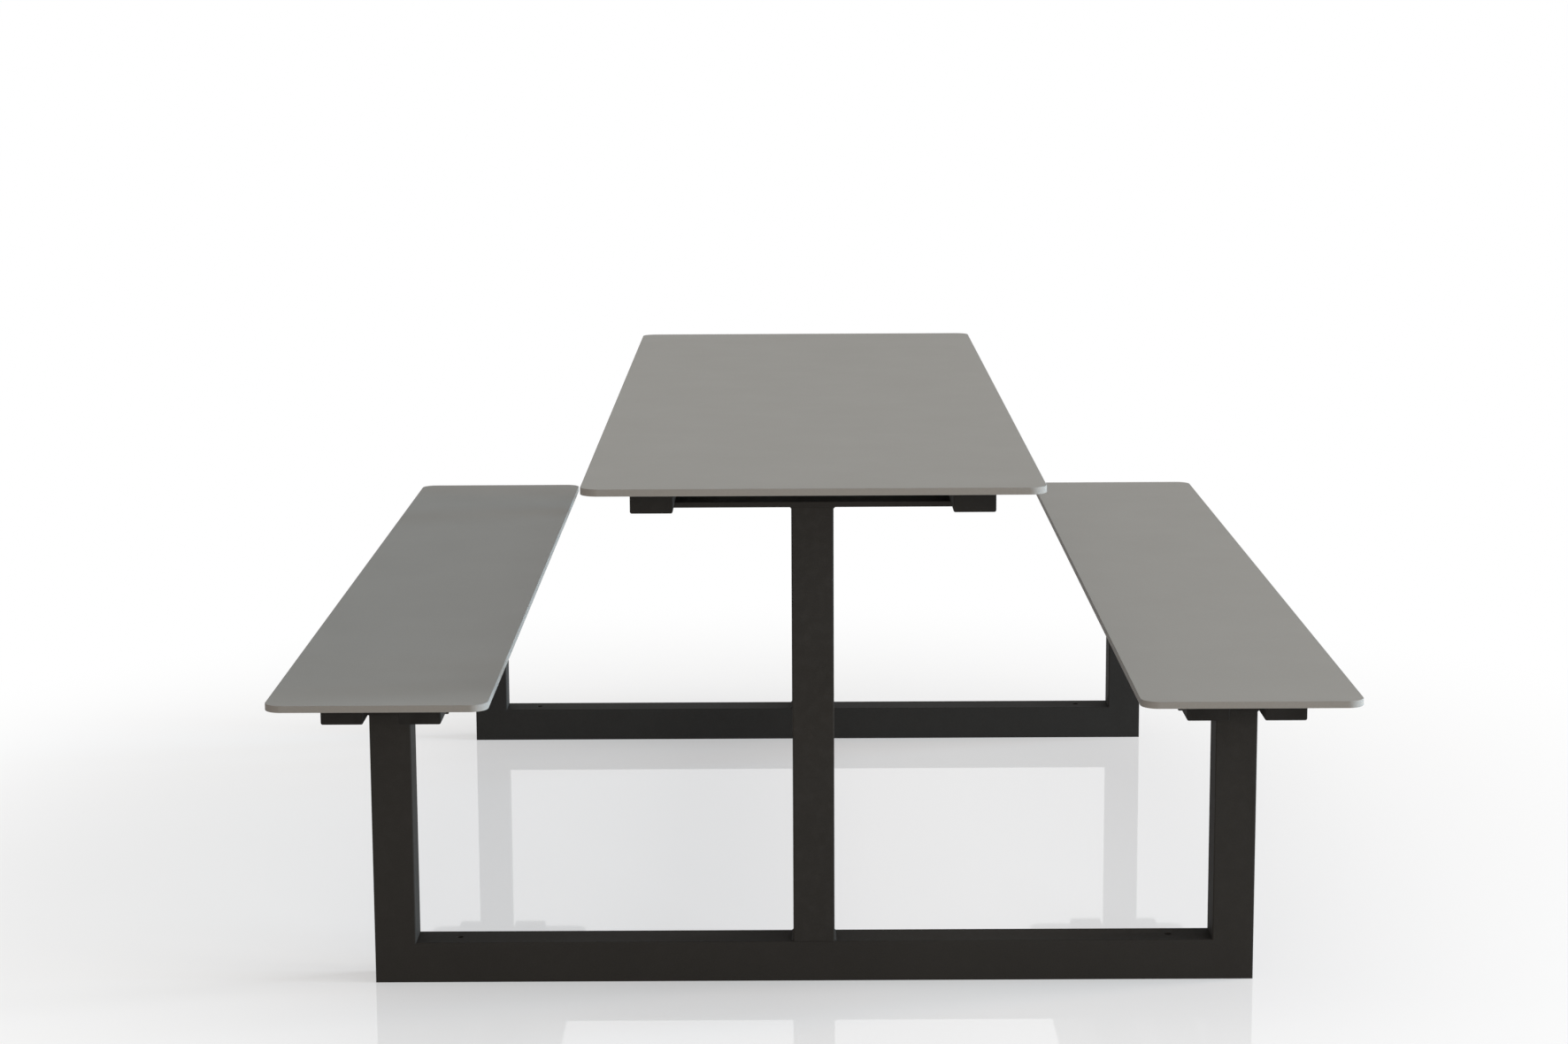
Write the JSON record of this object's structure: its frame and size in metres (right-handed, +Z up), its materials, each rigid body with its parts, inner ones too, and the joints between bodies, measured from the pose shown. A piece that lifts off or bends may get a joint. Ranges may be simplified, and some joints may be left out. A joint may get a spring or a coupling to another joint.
{
  "type": "cafeteria table with benches",
  "caption": "Fixed table with a bench along each side, all on two welded end frames of square tube with rails under thin slabs.",
  "frame": {"origin": "on the floor under the middle of the tabletop", "axes": "+X across the table towards the right bench, +Y along the table towards its back end, +Z up"},
  "size_m": [1.523, 2, 0.76],
  "materials": {
    "laminate": "grey compact laminate, fine matt texture, same colour through the edge",
    "frame_steel": "black fine-textured powder coat on steel tube",
    "weld": "weld bead under the same black powder coat",
    "cap_plastic": "black moulded polypropylene, faint grain",
    "fastener_steel": "black zinc-plated steel",
    "washer_steel": "black zinc-plated steel",
    "rivet_nut_steel": "zinc-plated steel",
    "insert_brass": "turned brass"
  },
  "bodies": {
    "root": {"back_frame_base_rail": "frame_steel", "back_frame_centre_post": "frame_steel", "back_frame_left_post": "frame_steel", "back_frame_left_seat_plate": "frame_steel", "back_frame_right_post": "frame_steel", "back_frame_right_seat_plate": "frame_steel", "back_frame_table_plate": "frame_steel", "back_frame_weld_beads": "weld", "back_left_seat_bolts": "fastener_steel", "back_left_seat_washers": "washer_steel", "back_right_seat_bolts": "fastener_steel", "back_right_seat_washers": "washer_steel", "back_table_bolts": "fastener_steel", "back_table_washers": "washer_steel", "front_frame_base_rail": "frame_steel", "front_frame_centre_post": "frame_steel", "front_frame_left_post": "frame_steel", "front_frame_left_seat_plate": "frame_steel", "front_frame_right_post": "frame_steel", "front_frame_right_seat_plate": "frame_steel", "front_frame_table_plate": "frame_steel", "front_frame_weld_beads": "weld", "front_left_seat_bolts": "fastener_steel", "front_left_seat_washers": "washer_steel", "front_right_seat_bolts": "fastener_steel", "front_right_seat_washers": "washer_steel", "front_table_bolts": "fastener_steel", "front_table_washers": "washer_steel", "left_seat": "laminate", "left_seat_inner_rail": "frame_steel", "left_seat_inner_rail_back_cap": "cap_plastic", "left_seat_inner_rail_front_cap": "cap_plastic", "left_seat_inserts": "insert_brass", "left_seat_outer_rail": "frame_steel", "left_seat_outer_rail_back_cap": "cap_plastic", "left_seat_outer_rail_front_cap": "cap_plastic", "left_seat_rivet_nuts": "rivet_nut_steel", "left_seat_screws": "fastener_steel", "right_seat": "laminate", "right_seat_inner_rail": "frame_steel", "right_seat_inner_rail_back_cap": "cap_plastic", "right_seat_inner_rail_front_cap": "cap_plastic", "right_seat_inserts": "insert_brass", "right_seat_outer_rail": "frame_steel", "right_seat_outer_rail_back_cap": "cap_plastic", "right_seat_outer_rail_front_cap": "cap_plastic", "right_seat_rivet_nuts": "rivet_nut_steel", "right_seat_screws": "fastener_steel", "table_inserts": "insert_brass", "table_left_rail": "frame_steel", "table_left_rail_back_cap": "cap_plastic", "table_left_rail_front_cap": "cap_plastic", "table_right_rail": "frame_steel", "table_right_rail_back_cap": "cap_plastic", "table_right_rail_front_cap": "cap_plastic", "table_rivet_nuts": "rivet_nut_steel", "table_screws": "fastener_steel", "tabletop": "laminate"}
  },
  "joints": []
}
